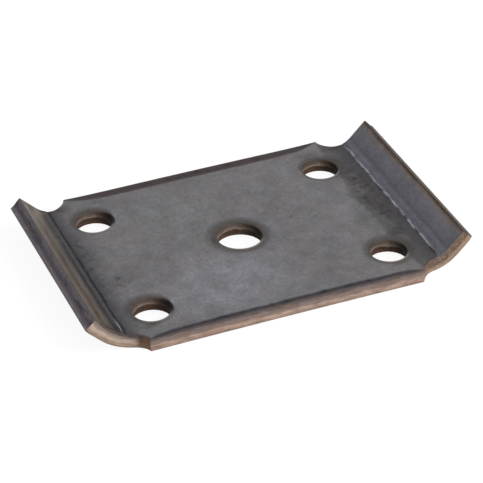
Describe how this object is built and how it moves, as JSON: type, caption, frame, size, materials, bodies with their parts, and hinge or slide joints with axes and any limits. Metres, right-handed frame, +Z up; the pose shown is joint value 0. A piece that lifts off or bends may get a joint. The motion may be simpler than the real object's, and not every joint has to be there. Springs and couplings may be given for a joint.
{
  "type": "axle tie plate",
  "caption": "Flat pressed steel tie plate with round U-bolt holes at its corners, a larger locating hole in the middle, upturned end flanges and rounded corner relief notches.",
  "frame": {"origin": "middle of the plate's underside", "axes": "+X along the plate's length from flange to flange, +Y across the strip, +Z up, the way the flanges rise"},
  "size_m": [0.1454, 0.0952, 0.0145],
  "materials": {
    "steel": "hot-rolled mill scale, with lightly rusted sheared edges"
  },
  "bodies": {
    "root": {"tie_plate": "steel"}
  },
  "joints": []
}
